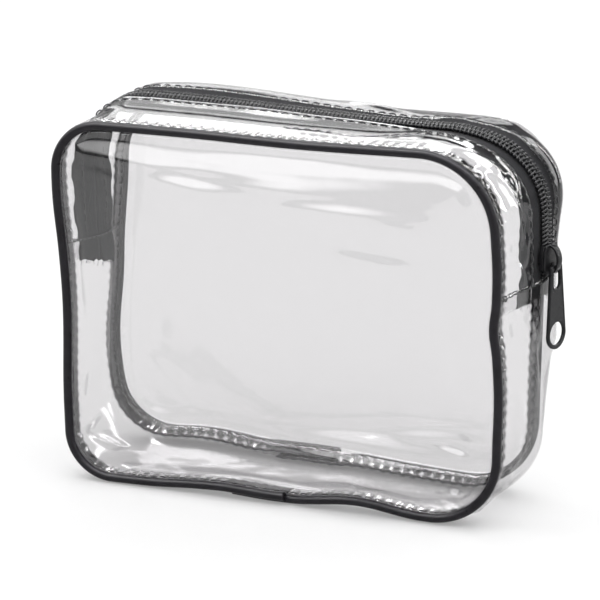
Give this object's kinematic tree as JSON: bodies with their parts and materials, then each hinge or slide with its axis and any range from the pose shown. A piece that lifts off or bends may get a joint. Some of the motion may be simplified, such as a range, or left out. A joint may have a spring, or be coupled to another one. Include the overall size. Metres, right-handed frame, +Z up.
{
  "type": "makeup bag",
  "caption": "Clear zip-up makeup bag with flat front and rear panels, a gusset, black piped seams, and a coil zip with a hanging pull tab.",
  "frame": {"origin": "middle of the underside, on the surface that the bag stands on, halfway between the seams", "axes": "+X towards the side with the zip slider, +Y from the front panel to the rear panel, +Z up"},
  "size_m": [0.2241, 0.062, 0.1717],
  "materials": {
    "clear_vinyl": "clear, high gloss, flexible PVC sheet",
    "piping": "semi-gloss soft PVC",
    "piping_cord": "matte twisted cord",
    "zip_tape": "matte woven tape",
    "zip_coil": "glossy nylon",
    "zip_paint": "satin black paint on a die casting",
    "thread": "matte sewing thread"
  },
  "bodies": {
    "bag": {"front_panel": "clear_vinyl", "rear_panel": "clear_vinyl", "base_gusset": "clear_vinyl", "zip_strip_front": "clear_vinyl", "zip_strip_rear": "clear_vinyl", "front_piping": "piping", "rear_piping": "piping", "front_piping_core": "piping_cord", "rear_piping_core": "piping_cord", "zip_tape_front": "zip_tape", "zip_tape_rear": "zip_tape", "zip_coil_front": "zip_coil", "zip_coil_rear": "zip_coil", "coil_cord_front": "thread", "coil_cord_rear": "thread", "front_seam_thread": "thread", "rear_seam_thread": "thread", "zip_thread_front": "thread", "zip_thread_rear": "thread", "side_seam_thread_right": "thread", "side_seam_thread_left": "thread"},
    "slider": {"slider_body": "zip_paint"},
    "pull": {"pull_tab": "zip_paint"}
  },
  "joints": [
    {"name": "zip_slide", "type": "slide", "parent": "bag", "child": "slider", "axis": [0, 0, 1], "range_m": [0, 0.015]},
    {"name": "pull_swing", "type": "hinge", "parent": "slider", "child": "pull", "pos_m": [0.11701, -0.00142, 0.1106], "axis": [-0.2636, -0.9646, 0], "range_deg": [0, 150]}
  ]
}
